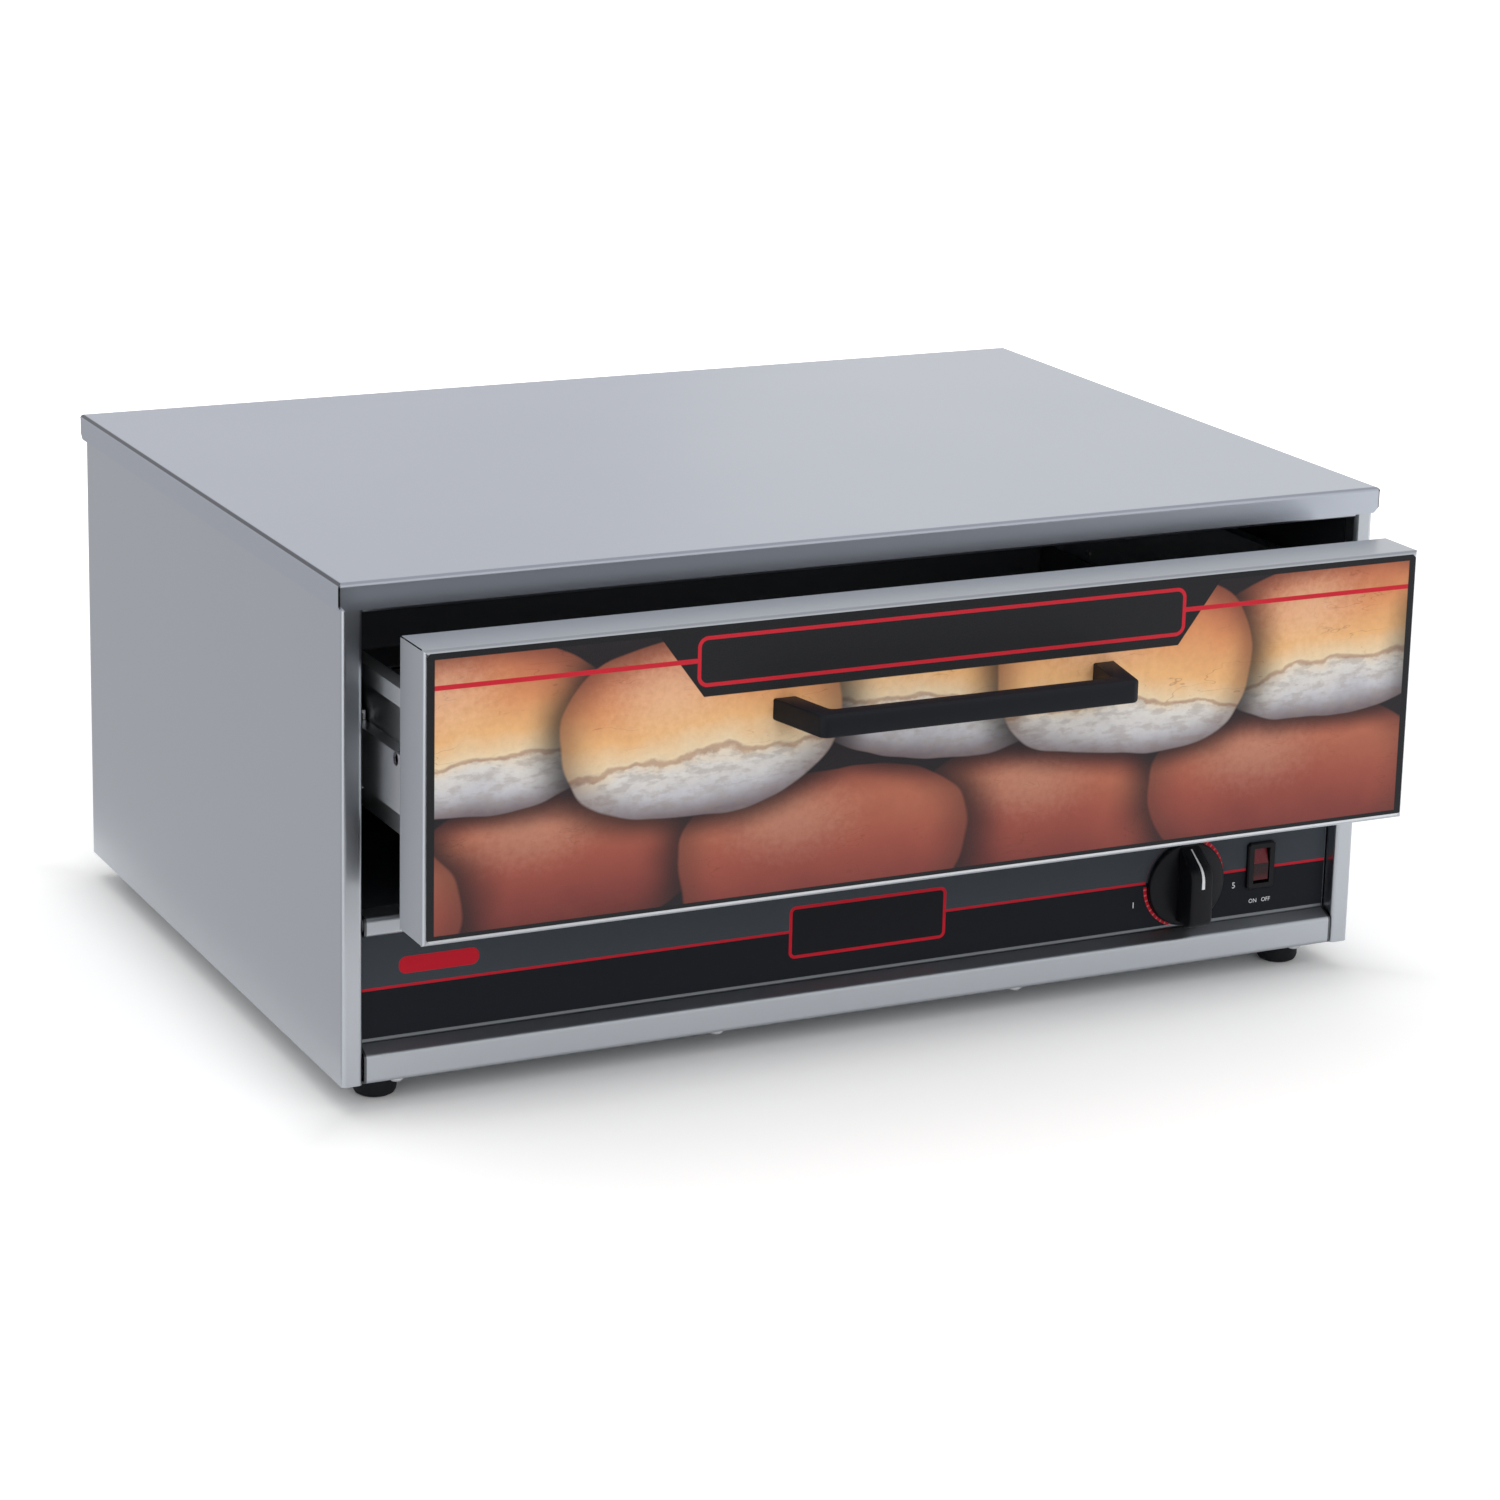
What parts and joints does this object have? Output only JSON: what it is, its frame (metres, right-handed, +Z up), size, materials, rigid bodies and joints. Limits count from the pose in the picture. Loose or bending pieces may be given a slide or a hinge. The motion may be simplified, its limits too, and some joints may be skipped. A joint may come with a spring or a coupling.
{
  "type": "bun warmer cabinet",
  "caption": "Counter-top bun warmer: folded steel cabinet with a heated pull-out drawer on telescopic slides, a recessed control panel with knob and rocker switch, and rubber feet.",
  "frame": {"origin": "centre of the whole footprint at the level of the feet, with the drawer as pictured, partly open", "axes": "+Z up, +Y from the front to the back, +X to the right as seen from the front"},
  "size_m": [0.52, 0.4542, 0.2383],
  "materials": {
    "cabinet_steel": "fine-grained sheet steel with a soft sheen",
    "liner_steel": "plain mill-finished sheet steel",
    "liner_black": "black heat-resistant coating, matt",
    "slide_steel": "bright zinc plate",
    "screw_steel": "zinc plate",
    "element_sheath": "heat-darkened steel sheath",
    "copper": "bare copper",
    "ceramic": "unglazed insulating body",
    "black_plastic": "moulded, satin",
    "tray_coat": "dark baked release coating, satin",
    "rocker_lens": "translucent moulding, polished",
    "handle_coat": "black powder coat, satin",
    "panel_film": "printed film, satin",
    "print_film": "printed film, semi-gloss",
    "foot_rubber": "moulded, matt"
  },
  "bodies": {
    "cabinet": {"lid": "cabinet_steel", "lid_screws": "screw_steel", "left_side_panel": "cabinet_steel", "right_side_panel": "cabinet_steel", "front_header": "cabinet_steel", "front_fascia": "cabinet_steel", "control_overlay": "panel_film", "bottom_panel": "cabinet_steel", "rear_panel": "cabinet_steel", "rear_panel_screws": "screw_steel", "cord_gland": "black_plastic", "left_liner": "liner_black", "right_liner": "liner_black", "rear_liner": "liner_black", "top_liner": "liner_black", "heat_deck": "liner_black", "heating_element": "element_sheath", "element_clips": "liner_steel", "element_bushings": "ceramic", "thermostat_body": "ceramic", "thermostat_capillary": "copper", "thermostat_bulb": "copper", "bulb_clips": "liner_steel", "switch_housing": "black_plastic", "terminal_block": "ceramic", "slide_outer_left": "slide_steel", "slide_outer_right": "slide_steel", "slide_screws_cabinet": "screw_steel", "fascia_screws": "screw_steel", "foot_screws": "screw_steel", "foot_front_left": "foot_rubber", "foot_rear_left": "foot_rubber", "foot_front_right": "foot_rubber", "foot_rear_right": "foot_rubber"},
    "drawer": {"drawer_front": "cabinet_steel", "drawer_print": "print_film", "drawer_front_liner": "liner_steel", "drawer_handle": "handle_coat", "handle_screws": "screw_steel", "drawer_left_side": "liner_steel", "drawer_right_side": "liner_steel", "drawer_rear": "liner_steel", "drawer_screws": "screw_steel", "bun_tray": "tray_coat", "slide_inner_left": "slide_steel", "slide_inner_right": "slide_steel", "slide_screws_drawer": "screw_steel"},
    "slide_middle_left": {"slide_middle_left": "slide_steel"},
    "slide_middle_right": {"slide_middle_right": "slide_steel"},
    "knob": {"control_knob": "black_plastic", "thermostat_shaft": "screw_steel"},
    "rocker": {"switch_rocker": "rocker_lens"}
  },
  "joints": [
    {"name": "drawer_slide", "type": "slide", "parent": "cabinet", "child": "drawer", "axis": [0, -1, 0], "range_m": [-0.058, 0.232]},
    {"name": "slide_middle_left_slide", "type": "slide", "parent": "cabinet", "child": "slide_middle_left", "axis": [0, -1, 0], "range_m": [-0.029, 0.116]},
    {"name": "slide_middle_right_slide", "type": "slide", "parent": "cabinet", "child": "slide_middle_right", "axis": [0, -1, 0], "range_m": [-0.029, 0.116]},
    {"name": "knob_turn", "type": "hinge", "parent": "cabinet", "child": "knob", "pos_m": [0.1684, -0.12705, 0.0516], "axis": [0, 1, 0], "range_deg": [0, 300]},
    {"name": "rocker_tilt", "type": "hinge", "parent": "cabinet", "child": "rocker", "pos_m": [0.2105, -0.12475, 0.0553], "axis": [1, 0, 0], "range_deg": [0, 16]}
  ],
  "couplings": [
    {"joint": "slide_middle_left_slide", "follows": "drawer_slide", "ratio": 0.5},
    {"joint": "slide_middle_right_slide", "follows": "drawer_slide", "ratio": 0.5}
  ]
}
